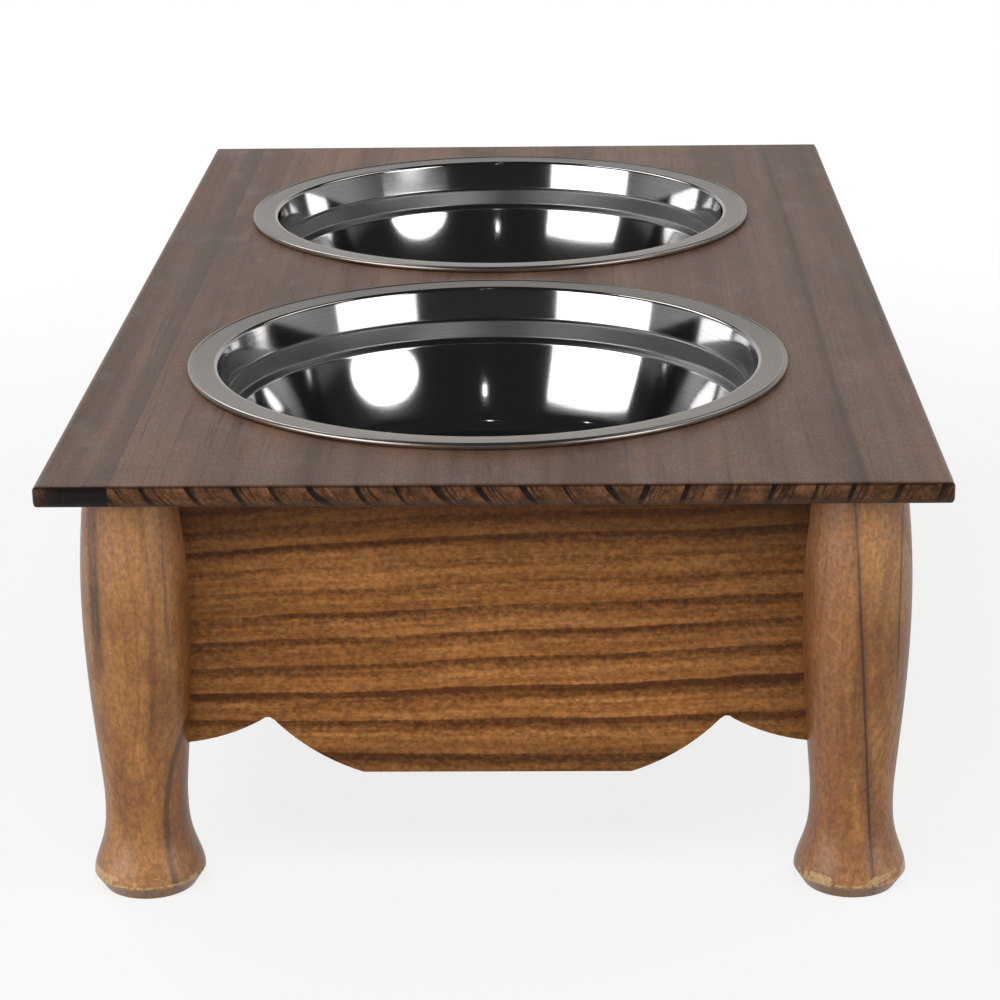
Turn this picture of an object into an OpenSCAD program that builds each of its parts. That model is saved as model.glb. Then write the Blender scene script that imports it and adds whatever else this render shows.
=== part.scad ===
// Raised feeding stand for a dog: a wooden table on four turned legs, two drop-in steel bowls
// and a shallow storage drawer under them. Millimetres, +Z up, origin on the floor at the middle.
// The short end that faces -Y is the front, and the drawer opens towards +X.

/* [Top board] */
// Width of the top board, left to right
top_w = 375; // [360:1:420]
// Length of the top board, front to back
top_l = 671; // [650:1:740]
// Thickness of the top board
top_t = 9.5; // [8:0.5:16]
// Corner radius of the top board, seen from above
top_corner_r = 4; // [1:0.5:12]
// Radius of the upper edge of the top board
top_upper_r = 3; // [1:0.5:4]
// Radius of the lower edge of the top board
top_lower_r = 3.5; // [1:0.5:4]

/* [Legs] */
// Height of a leg, floor to the underside of the top board
leg_h = 183; // [176:1:230]
// Distance from the top board's edges to a leg's axis
leg_inset = 35; // [30:1:40]
// Radius of a leg at its upper end
leg_top_r = 19.2; // [18:0.1:22]
// Radius of a leg at its swelling
leg_bulge_r = 23; // [21:0.1:26]
// Distance of the swelling below the top board
leg_bulge_drop = 55; // [45:1:70]
// Radius of a leg at its neck
leg_neck_r = 17.9; // [15:0.1:20]
// Height of the neck above the floor
leg_neck_z = 42; // [34:1:50]
// Radius of the foot at its sharp rim
leg_foot_r = 24.2; // [22:0.1:28]
// Height of the foot's rim above the floor
leg_rim_z = 6.4; // [3:0.1:10]
// Radius of the face that the foot stands on
leg_base_r = 20; // [16:0.1:22]
// How soon the neck swells out above it, less is sooner
leg_swell = 0.7; // [0.6:0.05:1.2]
// How late the foot flares out below the neck, more is later
leg_flare = 1.8; // [1:0.05:2.2]

/* [Aprons] */
// Thickness of the aprons
apron_t = 13; // [12:0.5:16]
// How far an apron's outer face lies outside the leg axes
apron_face = 2; // [0:0.5:4]
// Wood that is left between the two slots of a leg
slot_web = 0.5; // [0.2:0.1:1.5]
// Depth of an apron in its middle
apron_depth = 131.5; // [128:0.5:135]
// Depth of an apron at the cusp of its scallop
apron_cusp_depth = 105.8; // [100:0.5:112]
// Depth of an apron where it meets a leg
apron_end_depth = 117.3; // [112:0.5:122]
// Distance from a leg's axis to where the scallop ends at it
scallop_end = 19.5; // [17:0.5:21]
// Distance from a leg's axis to the cusp
scallop_cusp = 54.1; // [48:0.5:60]
// Distance from a leg's axis to where the straight middle begins
scallop_flat = 94.8; // [88:0.5:100]
// Half the width of the rounded tip of the cusp
cusp_half = 3; // [2:0.5:5]
// Half the width of the flat on top of the cusp
cusp_flat = 1; // [0.5:0.1:1.5]
// Height of the cusp's rounded tip
cusp_tip_h = 1.4; // [0.5:0.1:2]
// Rise of the long lobe's arc from its chord
lobe_sag = 2.8; // [1:0.1:5]
// Rise of the short lobe's arc from its chord
hip_sag = 1.7; // [0.5:0.1:3]

/* [Bowls] */
// Distance from a short edge of the top board to the rim of the bowl beside it
bowl_end_margin = 45.4; // [44:0.1:52]
// Distance from the nearer long edge of the top board to the bowls' rims
bowl_side_margin = 42.4; // [41:0.1:50]
// Gap between the two bowls' rims
bowl_gap = 23.8; // [18:0.1:34]
// Sideways offset of both bowls
bowl_x = -6; // [-7:0.5:7]
// Width of the flange, from the rim to where it turns down
flange_w = 12.5; // [12:0.1:14]
// Depth of a bowl below the top board's surface
bowl_depth = 66; // [55:1:67]
// Sheet thickness of a bowl
bowl_t = 0.8; // [0.6:0.1:1.2]
// Radius of the bead rolled along the rim
bead_r = 1.5; // [1.2:0.1:2]
// Height of the bead above the flange beside it
bead_stand = 0.3; // [0.2:0.1:0.6]
// Fall of the flange from its bead to its mouth
flange_fall = 0.5; // [0:0.1:1]
// Radius of the bend between flange and wall
mouth_bend_r = 1.6; // [1:0.1:2.5]
// Angle through which that bend turns
mouth_bend_turn = 77.5; // [65:0.5:85]
// Depth of the stacking step below the top board's surface
step_depth = 13.2; // [11:0.1:15]
// Distance of the wall below the stacking step inside the mouth
step_in = 5.7; // [5.3:0.1:6.6]
// Width of the stacking step
step_w = 1; // [0.6:0.1:1.5]
// Depth at which the dish begins
dish_depth = 24.2; // [22:0.1:27]
// Width of the ledge above the dish
dish_ledge_w = 3.4; // [2.5:0.1:5]
// Fall of that ledge
dish_ledge_fall = 1.6; // [1:0.1:2.5]
// Lean of the dish's side below its upper edge
dish_lean_top = 16; // [10:1:19]
// Lean of the dish's side above its rounded corner
dish_lean_low = 24; // [21:1:32]
// Radius of the corner between the dish's side and its flat bottom
dish_corner_r = 14; // [10:1:24]
// Distance from a bowl's rim in to the wall of its hole
cutout_in = 9.6; // [8:0.1:10]
// Bevel on the upper edge of the holes
cutout_bevel = 0.8; // [0.3:0.1:1.5]
// Gap between a resting bead and the top board
bead_gap = 0.2; // [0.1:0.05:0.3]

/* [Corner blocks and batten] */
// Length of a corner block along each apron
block_leg = 62; // [58:1:68]
// Height of a corner block
block_h = 30; // [24:1:36]
// Length cut off each side of the block's corner, to clear the leg
block_nose = 14; // [13:0.5:18]
// Width of the batten between the bowls
batten_w = 30; // [24:1:34]
// Thickness of the batten
batten_t = 18; // [14:1:22]
// Place of the side screws along a corner block, as a part of its length
block_screw_part = 0.6; // [0.56:0.01:0.64]
// Place of its upright screw from both aprons, as a part of its length
block_top_screw_part = 0.36; // [0.3:0.01:0.4]
// How far the batten's ends are let into the side aprons
batten_let = 6; // [3:0.5:8]
// Distance of the batten's screws from the middle
batten_screw_x = 70; // [50:1:90]

/* [Drawer] */
// Width of the drawer's opening
opening_w = 350; // [320:1:356]
// Height of the drawer's opening
opening_h = 50; // [46:0.5:52]
// Height of the rail under the opening
rail_h = 12.5; // [11:0.5:14]
// Gap round the drawer's face
face_gap = 1; // [0.6:0.1:1.5]
// Thickness of the drawer's face
face_t = 12; // [10:0.5:13]
// Thickness of the drawer's sides
side_t = 10; // [9:0.5:11]
// Height of the drawer's sides
side_h = 43; // [40:0.5:44]
// Depth of the rabbets in the face that hold the sides
rabbet = 7; // [5:0.5:8]
// Thickness of the drawer's back
back_t = 9; // [8:0.5:12]
// Height by which the back stays below the sides
back_drop = 4; // [2:0.5:8]
// Distance of the back from the sides' rear ends
back_inset = 4; // [2:0.5:8]
// Thickness of the drawer's bottom
bottom_t = 4; // [3:0.5:5]
// Depth of the grooves that hold bottom and back
groove = 4; // [2:0.5:5]
// Height of the bottom above the sides' lower edges
bottom_rise = 5; // [4:0.5:8]
// How much of the drawer's room between the side aprons its travel leaves unused
travel_rest = 53; // [50:1:120]
// Length of the stop blocks
stop_l = 22; // [16:1:30]
// Thickness of the stop blocks
stop_t = 8; // [6:0.5:10]
// Height by which the stop blocks reach over the opening's upper edge
stop_catch = 4; // [3:0.5:5]
// Height of the stop blocks
stop_h = 33; // [26:0.5:38]
// How deep a stop block's screws bite into the drawer's side
stop_bite = 6; // [4:0.5:8]
// Gap between a stop block and the apron at full travel
stop_gap = 0.3; // [0.2:0.1:0.5]

/* [Runners] */
// Running gap under the drawer's sides
run_gap = 0.2; // [0.1:0.05:0.4]
// Gap between the drawer's sides and the guides
guide_gap = 0.5; // [0.3:0.1:0.8]
// Gap between the drawer's sides and the kickers
kick_gap = 0.5; // [0.3:0.1:0.8]
// Gap between the shut drawer's rear ends and the far apron
shut_gap = 0.3; // [0.2:0.1:0.5]
// Width of the ledge under a drawer side
ledge_w = 14; // [12:0.5:18]
// Thickness of the ledge
ledge_t = 10; // [8:0.5:11]
// Thickness of the guide beside a drawer side
guide_t = 15; // [13:0.5:18]
// Thickness of the kickers
kicker_t = 12; // [9:0.5:13]
// Distance of a kicker's inner edge inside the guide
kicker_lap = 9; // [6:0.5:9]
// Thickness of the runners' stub tenons
tenon_t = 8; // [6:0.5:9]
// Length of the runners' stub tenons
tenon_l = 6; // [4:0.5:8]
// Wood that is left outside a stub tenon
tenon_edge = 2; // [1:0.5:4]
// Shoulder above and below a stub tenon
tenon_shoulder = 4; // [3:0.5:6]

/* [Knob] */
// Radius of the knob's head
knob_r = 13; // [11:0.5:16]
// Radius of the knob's foot
knob_foot_r = 8; // [7:0.5:9]
// Height of the knob's foot
knob_foot_h = 1.5; // [1:0.5:3]
// Radius of the knob's neck
knob_neck_r = 5.5; // [4.5:0.5:6.5]
// Length of the knob's neck
knob_neck_l = 8; // [6:0.5:10]
// Length of the knob's head
knob_head_l = 12; // [9:0.5:14]
// Angle below the head's widest line at which its neck begins
knob_shoulder = 44; // [35:1:55]

/* [Screws] */
// Radius of the structural screws
screw_r = 1.75; // [1.5:0.05:2]
// Radius of the structural screws' heads
screw_head_r = 3.4; // [3.1:0.1:3.8]
// Radius of the small drawer screws
small_r = 1.25; // [1:0.05:1.4]
// Radius of the small drawer screws' heads
small_head_r = 2.3; // [2:0.1:2.5]
// Radius of the knob screw's round head
knob_screw_head_r = 3.7; // [3:0.1:4.5]
// Height of the knob screw's round head
knob_screw_head_h = 2.3; // [1.8:0.1:3]
// Clearance round every screw in its hole
screw_fit = 0.05; // [0.02:0.01:0.1]
// How deep a structural screw bites into an apron
apron_bite = 9; // [6:0.5:10]
// How deep a structural screw bites into the top board
top_bite = 6; // [4:0.5:6.5]
// Depth at which a screw's head sits in a corner block
head_sink = 3; // [1:0.5:6]
// How deep a small screw bites past the piece that it holds
small_bite = 9; // [7:0.5:10]

/* [Hidden] */
$fn = 96;
over = 1; // how far a cutter runs past the face that it opens

// Steps along the curves, and how much closer a leg's rings lie towards its foot
leg_rings = 34;
leg_crowding = 1.25;
dish_steps = 12;
long_steps = 10;
short_steps = 8;
bend_steps = 5;
bead_steps = 28;

TOP_WOOD = "#75604f";
LEG_WOOD = "#a9784c";
APRON_WOOD = "#91602f";
INNER_WOOD = "#c3a071";
STEEL = "#b7b6b3";
SCREW_METAL = "#8d8d8e";

// Places that several pieces share
top_z = leg_h + top_t;
leg_x = top_w / 2 - leg_inset;
leg_y = top_l / 2 - leg_inset;
slot_seat = apron_t - apron_face + slot_web;
inner_x = leg_x + apron_face - apron_t;
inner_y = leg_y + apron_face - apron_t;
apron_low_z = leg_h - apron_depth;
apron_end_z = leg_h - apron_end_depth;
block_z = leg_h - block_h;

// Bowls, as large as the board and its margins allow
bowl_rim_r = min((top_l / 2 - bowl_end_margin - bowl_gap / 2) / 2,
    top_w / 2 - abs(bowl_x) - bowl_side_margin);
bowl_y = top_l / 2 - bowl_end_margin - bowl_rim_r;
bowl_mouth_r = bowl_rim_r - flange_w;
step_r = bowl_mouth_r - step_in;
dish_r = step_r - dish_ledge_w;
cutout_r = bowl_rim_r - cutout_in;

// Drawer, worked out from its opening: half widths along Y, then heights, then lengths along X
opening_z = apron_low_z + rail_h;
opening_top_z = opening_z + opening_h;
drawer_half = opening_w / 2 - face_gap;
drawer_in_half = drawer_half - side_t;
panel_half = drawer_in_half + groove;
side_z = opening_z + run_gap;
bottom_z = side_z + bottom_rise;
floor_z = bottom_z + bottom_t;
face_out_x = leg_x + apron_face;
face_in_x = face_out_x - face_t;
side_front_x = face_in_x + rabbet;
side_rear_x = -inner_x + shut_gap;
back_x = side_rear_x + back_inset;
guide_y = drawer_half + guide_gap;
guide_top_z = side_z + side_h + kick_gap;
kicker_top_z = guide_top_z + kicker_t;
drawer_travel = 2 * inner_x - travel_rest;
stop_x = inner_x - drawer_travel - stop_gap;
knob_z = (opening_z + opening_top_z) / 2;

// Screws, worked out from the pieces that they join
block_screw_at = block_leg * block_screw_part;
block_screw_seat = block_leg - block_screw_at - head_sink - screw_head_r;
block_top_screw_at = block_leg * block_top_screw_part;
knob_screw_r = screw_r;
knob_screw_bite = knob_neck_l + knob_head_l / 2;
knob_screw_dome = knob_screw_head_h / 3; // bulge of the screw head's outline
row_part = 0.7; // place of a row's outer screws, as a part of half its length
side_screw_rows = [0.35, 0.8]; // heights of the screws, as parts of a drawer side's height
stop_screw_rows = [0.2, 0.55]; // and as parts of a stop block's height
tip_l = 3; // length of a screw's point
tip_part = 0.25; // radius left at its end, as a part of the shank's

// Points along the arc from p to q that rises by sag to the left of the way from p to q
function arc(p, q, sag, steps) =
    let (
        chord = norm(q - p),
        along = (q - p) / chord,
        left = [-along[1], along[0]],
        s = abs(sag),
        r = (chord * chord / 4 + s * s) / (2 * s),
        reach = asin(chord / (2 * r)),
        way = sag > 0 ? left : -left,
        centre = (p + q) / 2 + way * (s - r)
    )
    [for (i = [0:steps])
        let (a = reach * (2 * i / steps - 1))
        centre + r * (cos(a) * way + sin(a) * along)];

// A rise from 0 to 1 that starts and ends level
function ease(t) = t * t * (3 - 2 * t);

// A list of points turned end for end
function back_to_front(v) = [for (i = [len(v) - 1:-1:0]) v[i]];

// Puts a piece that is drawn towards +X and +Y from the front left corner into corner sx, sy
module in_corner(x, y, sx, sy) {
    translate([sx * x, sy * y, 0])
        mirror([sx > 0 ? 1 : 0, 0, 0])
            mirror([0, sy > 0 ? 1 : 0, 0])
                children();
}

// Draws its children on the front side, or on the rear side as their mirror image
module on_side(sy) {
    mirror([0, sy > 0 ? 0 : 1, 0])
        children();
}

// Countersunk screw with the face of its head at the origin and its point along +Z
module screw(len, r, head_r) {
    rotate_extrude()
        polygon([[0, 0], [head_r, 0], [r, head_r - r], [r, len - tip_l],
            [r * tip_part, len], [0, len]]);
}

// Hole for such a screw, open behind its head over a length of free
module screw_hole(len, r, head_r, free) {
    wide = head_r + screw_fit;
    thin = r + screw_fit;
    rotate_extrude()
        polygon([[0, -free], [wide, -free], [wide, 0], [thin, wide - thin],
            [thin, len + screw_fit], [0, len + screw_fit]]);
}

// Outline of a board's end: width along X, thickness along Y, upper and lower edges rounded
module board_end(w) {
    middle = top_t - top_upper_r - top_lower_r;
    translate([-w / 2, top_lower_r])
        square([w, middle]);
    translate([-w / 2 + top_lower_r, 0])
        square([w - 2 * top_lower_r, top_lower_r]);
    translate([-w / 2 + top_upper_r, top_t - top_upper_r])
        square([w - 2 * top_upper_r, top_upper_r]);
    for (sx = [-1, 1]) {
        translate([sx * (w / 2 - top_lower_r), top_lower_r])
            circle(r = top_lower_r);
        translate([sx * (w / 2 - top_upper_r), top_t - top_upper_r])
            circle(r = top_upper_r);
    }
}

// Rectangle with rounded corners
module rounded_plan(w, l, r) {
    square([w - 2 * r, l], center = true);
    square([w, l - 2 * r], center = true);
    for (sx = [-1, 1], sy = [-1, 1])
        translate([sx * (w / 2 - r), sy * (l / 2 - r)])
            circle(r = r);
}

// Top board with two holes for the bowls, and pilot holes from below
module top_panel() {
    color(TOP_WOOD)
        difference() {
            translate([0, 0, leg_h])
                intersection() {
                    rotate([90, 0, 0])
                        linear_extrude(top_l, center = true)
                            board_end(top_w);
                    rotate([90, 0, 90])
                        linear_extrude(top_w, center = true)
                            board_end(top_l);
                    linear_extrude(top_t)
                        rounded_plan(top_w, top_l, top_corner_r);
                }
            for (sy = [-1, 1])
                translate([bowl_x, sy * bowl_y, 0]) {
                    translate([0, 0, leg_h - over])
                        cylinder(h = top_t + 2 * over, r = cutout_r);
                    translate([0, 0, top_z - cutout_bevel])
                        cylinder(h = cutout_bevel + over, r1 = cutout_r,
                            r2 = cutout_r + cutout_bevel + over);
                }
            block_top_screw_places()
                screw_hole(block_top_screw_len(), screw_r, screw_head_r, 0);
            batten_screw_places()
                screw_hole(batten_screw_len(), screw_r, screw_head_r, 0);
        }
}

// Radius of a turned leg at height z above the foot's rim
function leg_r(z) =
    let (bulge_z = leg_h - leg_bulge_drop)
    z < leg_neck_z ?
        leg_neck_r + (leg_foot_r - leg_neck_r)
            * ease(pow((leg_neck_z - z) / (leg_neck_z - leg_rim_z), leg_flare)) :
    z < bulge_z ?
        leg_neck_r + (leg_bulge_r - leg_neck_r)
            * ease(pow((z - leg_neck_z) / (bulge_z - leg_neck_z), leg_swell)) :
        leg_bulge_r - (leg_bulge_r - leg_top_r) * pow((z - bulge_z) / leg_bulge_drop, 2);

// Turned leg with two slots, from its top down, that take the ends of the aprons
module leg(sx, sy) {
    levels = [for (i = [0:leg_rings])
        leg_rim_z + (leg_h - leg_rim_z) * pow(i / leg_rings, leg_crowding)];
    slot_h = apron_end_depth + over;
    slot_l = leg_bulge_r;
    color(LEG_WOOD)
        in_corner(leg_x, leg_y, sx, sy)
            difference() {
                rotate_extrude()
                    polygon(concat([[0, 0], [leg_base_r, 0]],
                        [for (z = levels) [leg_r(z), z]], [[0, leg_h]]));
                translate([slot_seat, -apron_face, apron_end_z])
                    cube([slot_l, apron_t, slot_h]);
                translate([-apron_face, slot_seat, apron_end_z])
                    cube([apron_t, slot_l, slot_h]);
            }
}

// Half of an apron's lower edge, from its straight middle out to the slot in the leg
function apron_edge(axis) =
    let (
        cusp_z = leg_h - apron_cusp_depth,
        cusp_x = axis - scallop_cusp,
        lobe_end = [cusp_x - cusp_half, cusp_z - cusp_tip_h],
        hip_start = [cusp_x + cusp_half, cusp_z - cusp_tip_h]
    )
    concat(
        arc([axis - scallop_flat, apron_low_z], lobe_end, -lobe_sag, long_steps),
        [[cusp_x - cusp_flat, cusp_z], [cusp_x + cusp_flat, cusp_z]],
        arc(hip_start, [axis - scallop_end, apron_end_z], -hip_sag, short_steps),
        [[axis - slot_seat, apron_end_z], [axis - slot_seat, leg_h]]
    );

// Apron along X whose outer face looks towards -Y
module apron_board(axis, inner) {
    right = apron_edge(axis);
    left = [for (p = back_to_front(right)) [-p[0], p[1]]];
    translate([0, -inner, 0])
        rotate([90, 0, 0])
            linear_extrude(apron_t)
                polygon(concat(left, right));
}

module end_apron(sy) {
    color(APRON_WOOD)
        difference() {
            on_side(-sy)
                apron_board(leg_x, inner_y);
            block_end_screw_places()
                screw_hole(block_screw_len(), screw_r, screw_head_r, 0);
        }
}

// What both side aprons share: seats for the batten and the runners, and pilot holes
module side_apron_blank(turn) {
    difference() {
        rotate([0, 0, turn])
            apron_board(leg_y, inner_x);
        batten_body(over);
        for (sy = [-1, 1])
            on_side(sy)
                runner_tenons();
        block_side_screw_places()
            screw_hole(block_screw_len(), screw_r, screw_head_r, 0);
    }
}

module side_apron_left() {
    color(APRON_WOOD)
        side_apron_blank(-90);
}

// The side apron that the drawer slides through
module side_apron_right() {
    color(APRON_WOOD)
        difference() {
            side_apron_blank(90);
            translate([inner_x - over, -opening_w / 2, opening_z])
                cube([apron_t + 2 * over, opening_w, opening_h]);
        }
}

// Screw length in a corner block, and the places of its three kinds of screw
function block_screw_len() = block_screw_seat + apron_bite;
function block_top_screw_len() = block_h - head_sink + top_bite;

module block_end_screw_places() {
    for (sx = [-1, 1], sy = [-1, 1])
        in_corner(inner_x, inner_y, sx, sy)
            translate([block_screw_at, block_screw_seat, block_z + block_h / 2])
                rotate([90, 0, 0])
                    children();
}

module block_side_screw_places() {
    for (sx = [-1, 1], sy = [-1, 1])
        in_corner(inner_x, inner_y, sx, sy)
            translate([block_screw_seat, block_screw_at, block_z + block_h / 2])
                rotate([0, -90, 0])
                    children();
}

module block_top_screw_places() {
    for (sx = [-1, 1], sy = [-1, 1])
        in_corner(inner_x, inner_y, sx, sy)
            translate([block_top_screw_at, block_top_screw_at, block_z + head_sink])
                children();
}

// Three-cornered block that ties two aprons together and carries the top board
module corner_block(sx, sy) {
    color(INNER_WOOD)
        difference() {
            in_corner(inner_x, inner_y, sx, sy)
                translate([0, 0, block_z])
                    linear_extrude(block_h)
                        polygon([[block_nose, 0], [block_leg, 0], [0, block_leg], [0, block_nose]]);
            block_end_screw_places()
                screw_hole(block_screw_len(), screw_r, screw_head_r, block_leg);
            block_side_screw_places()
                screw_hole(block_screw_len(), screw_r, screw_head_r, block_leg);
            block_top_screw_places()
                screw_hole(block_top_screw_len(), screw_r, screw_head_r, block_h);
        }
}

module corner_block_screws() {
    color(SCREW_METAL) {
        block_end_screw_places()
            screw(block_screw_len(), screw_r, screw_head_r);
        block_side_screw_places()
            screw(block_screw_len(), screw_r, screw_head_r);
    }
}

// Batten across the top board between the bowls, let into both side aprons
function batten_screw_len() = batten_t + top_bite;

module batten_body(above) {
    half = inner_x + batten_let;
    translate([-half, -batten_w / 2, leg_h - batten_t])
        cube([2 * half, batten_w, batten_t + above]);
}

module batten_screw_places() {
    for (sx = [-1, 1])
        translate([sx * batten_screw_x, 0, leg_h - batten_t])
            children();
}

module centre_batten() {
    color(INNER_WOOD)
        difference() {
            batten_body(0);
            batten_screw_places()
                screw_hole(batten_screw_len(), screw_r, screw_head_r, over);
        }
}

module top_screws() {
    color(SCREW_METAL) {
        block_top_screw_places()
            screw(block_top_screw_len(), screw_r, screw_head_r);
        batten_screw_places()
            screw(batten_screw_len(), screw_r, screw_head_r);
    }
}

// Stub tenons at both ends of a runner
module runner_tenons() {
    low = opening_z - ledge_t + tenon_shoulder;
    high = guide_top_z - tenon_shoulder;
    for (sx = [-1, 1])
        translate([sx * (inner_x + tenon_l / 2), guide_y + guide_t - tenon_edge - tenon_t / 2,
            (low + high) / 2])
            cube([tenon_l, tenon_t, high - low], center = true);
}

// Runner with a ledge under the drawer's side and a guide beside it
module drawer_runner(sy) {
    ledge_y = drawer_half - ledge_w;
    far_y = guide_y + guide_t;
    color(INNER_WOOD)
        difference() {
            on_side(sy) {
                translate([-inner_x, 0, 0])
                    rotate([90, 0, 90])
                        linear_extrude(2 * inner_x)
                            polygon([[ledge_y, opening_z - ledge_t], [far_y, opening_z - ledge_t],
                                [far_y, guide_top_z], [guide_y, guide_top_z],
                                [guide_y, opening_z], [ledge_y, opening_z]]);
                runner_tenons();
            }
            kicker_screw_places()
                screw_hole(kicker_screw_len(), small_r, small_head_r, 0);
        }
}

function kicker_screw_len() = kicker_t + small_bite;

module kicker_screw_places() {
    for (sy = [-1, 1])
        on_side(sy)
            for (i = [-1:1])
                translate([i * inner_x * row_part, guide_y + guide_t / 2, kicker_top_z])
                    mirror([0, 0, 1])
                        children();
}

// Strip over a drawer side that keeps the open drawer from tipping
module drawer_kicker(sy) {
    color(INNER_WOOD)
        difference() {
            on_side(sy)
                translate([-inner_x, guide_y - kicker_lap, guide_top_z])
                    cube([2 * inner_x, kicker_lap + guide_t, kicker_t]);
            kicker_screw_places()
                screw_hole(kicker_screw_len(), small_r, small_head_r, over);
        }
}

module kicker_screws() {
    color(SCREW_METAL)
        kicker_screw_places()
            screw(kicker_screw_len(), small_r, small_head_r);
}

// Angle round the bead at which the flange's surface of that height meets it
function bead_angle(height) = 180 - asin((height - bead_gap - bead_r) / bead_r);

// Points round the bead from one angle down to another
function bead_arc(from, to) =
    [for (i = [0:bead_steps])
        let (a = from + (to - from) * i / bead_steps)
        [bowl_rim_r - bead_r + bead_r * cos(a), bead_gap + bead_r + bead_r * sin(a)]];

// Inner line of the dish from its flat bottom out to its upper edge, with heights above the top
// board: the corner, then the side, whose lean grows less towards the edge
function dish_line() =
    let (
        low_z = -bowl_depth + dish_corner_r * (1 - sin(dish_lean_low)),
        side_r = (-dish_depth - low_z) / (sin(dish_lean_low) - sin(dish_lean_top)),
        low_r = dish_r - side_r * (cos(dish_lean_top) - cos(dish_lean_low))
    )
    concat(
        [for (i = [0:short_steps - 1])
            let (a = 90 + (dish_lean_low - 90) * i / short_steps)
            [low_r - dish_corner_r * (cos(dish_lean_low) - cos(a)),
                low_z - dish_corner_r * (sin(a) - sin(dish_lean_low))]],
        [for (i = [0:dish_steps])
            let (a = dish_lean_low + (dish_lean_top - dish_lean_low) * i / dish_steps)
            [dish_r - side_r * (cos(dish_lean_top) - cos(a)),
                -dish_depth - side_r * (sin(a) - sin(dish_lean_top))]]
    );

// Inner line of a bowl from its middle out to the bend, with heights above the top board
function bowl_line(flange_z) =
    let (
        mouth_z = flange_z - flange_fall,
        bend = [for (i = [0:bend_steps])
            let (a = 90 + mouth_bend_turn * (1 - i / bend_steps))
            [bowl_mouth_r + mouth_bend_r * cos(a), mouth_z - mouth_bend_r + mouth_bend_r * sin(a)]]
    )
    concat([[0, -bowl_depth]], dish_line(),
        [[step_r, -dish_depth + dish_ledge_fall], [step_r, -step_depth - step_w / 2],
            [step_r + step_w, -step_depth]], bend);

// The same line moved to the sheet's under side
function sheet_under(line) =
    let (last = len(line) - 1)
    [for (i = [0:last])
        let (
            a = line[max(i - 1, 0)],
            b = line[min(i + 1, last)],
            d = (b - a) / norm(b - a)
        )
        line[i] + bowl_t * [d[1], -d[0]]];

// Spun steel bowl that hangs in its hole by the rolled rim
module bowl(sy) {
    flange_z = bead_gap + 2 * bead_r - bead_stand;
    line = bowl_line(flange_z);
    bead = bead_arc(bead_angle(flange_z), bead_angle(flange_z - bowl_t) - 360);
    color(STEEL)
        translate([bowl_x, sy * bowl_y, top_z])
            rotate_extrude()
                polygon(concat(line, bead, back_to_front(sheet_under(line))));
}

// Front panel of the drawer, set flush in the apron, rabbeted for the sides
module drawer_face() {
    color(APRON_WOOD)
        difference() {
            translate([face_in_x, -drawer_half, opening_z + face_gap])
                cube([face_t, 2 * drawer_half, opening_h - 2 * face_gap]);
            for (sy = [-1, 1])
                on_side(sy)
                    translate([face_in_x - over, drawer_in_half, opening_z])
                        cube([rabbet + over, side_t + over, opening_h]);
            drawer_bottom_body();
            knob_screw_place()
                screw_shank_hole();
            drawer_screw_places()
                screw_hole(side_screw_len(), small_r, small_head_r, 0);
        }
}

module drawer_side(sy) {
    color(INNER_WOOD)
        difference() {
            on_side(sy)
                translate([side_rear_x, drawer_in_half, side_z])
                    cube([side_front_x - side_rear_x, side_t, side_h]);
            drawer_bottom_body();
            drawer_back_body(back_drop + over);
            drawer_screw_places()
                screw_hole(side_screw_len(), small_r, small_head_r, over);
            stop_screw_places()
                screw_hole(stop_screw_len(), small_r, small_head_r, 0);
        }
}

module drawer_back_body(above) {
    translate([back_x, -panel_half, floor_z])
        cube([back_t, 2 * panel_half, side_z + side_h - back_drop - floor_z + above]);
}

module drawer_back() {
    color(INNER_WOOD)
        difference() {
            drawer_back_body(0);
            drawer_screw_places()
                screw_hole(side_screw_len(), small_r, small_head_r, 0);
            bottom_screw_places()
                screw_hole(bottom_screw_len(), small_r, small_head_r, 0);
        }
}

module drawer_bottom_body() {
    translate([back_x, -panel_half, bottom_z])
        cube([face_in_x + groove - back_x, 2 * panel_half, bottom_t]);
}

module drawer_bottom() {
    color(INNER_WOOD)
        difference() {
            drawer_bottom_body();
            bottom_screw_places()
                screw_hole(bottom_screw_len(), small_r, small_head_r, over);
        }
}

// Block inside a drawer side that catches on the apron above the opening
module drawer_stop(sy) {
    color(INNER_WOOD)
        difference() {
            on_side(sy)
                translate([stop_x - stop_l, drawer_in_half - stop_t, opening_top_z + stop_catch - stop_h])
                    cube([stop_l, stop_t, stop_h]);
            stop_screw_places()
                screw_hole(stop_screw_len(), small_r, small_head_r, over);
        }
}

function side_screw_len() = side_t + small_bite;
function stop_screw_len() = stop_t + stop_bite;
function bottom_screw_len() = bottom_t + small_bite;

// Two screws through each side into the face, and two into the back
module drawer_screw_places() {
    face_x = face_in_x + rabbet / 2;
    for (sy = [-1, 1], x = [back_x + back_t / 2, face_x], part = side_screw_rows)
        on_side(sy)
            translate([x, drawer_half, side_z + side_h * part])
                rotate([90, 0, 0])
                    children();
}

module stop_screw_places() {
    for (sy = [-1, 1], part = stop_screw_rows)
        on_side(sy)
            translate([stop_x - stop_l / 2, drawer_in_half - stop_t,
                opening_top_z + stop_catch - stop_h * (1 - part)])
                rotate([-90, 0, 0])
                    children();
}

module bottom_screw_places() {
    for (i = [-1:1])
        translate([back_x + back_t / 2, i * drawer_in_half * row_part, bottom_z])
            children();
}

module drawer_screws() {
    color(SCREW_METAL) {
        drawer_screw_places()
            screw(side_screw_len(), small_r, small_head_r);
        stop_screw_places()
            screw(stop_screw_len(), small_r, small_head_r);
        bottom_screw_places()
            screw(bottom_screw_len(), small_r, small_head_r);
    }
}

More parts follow.
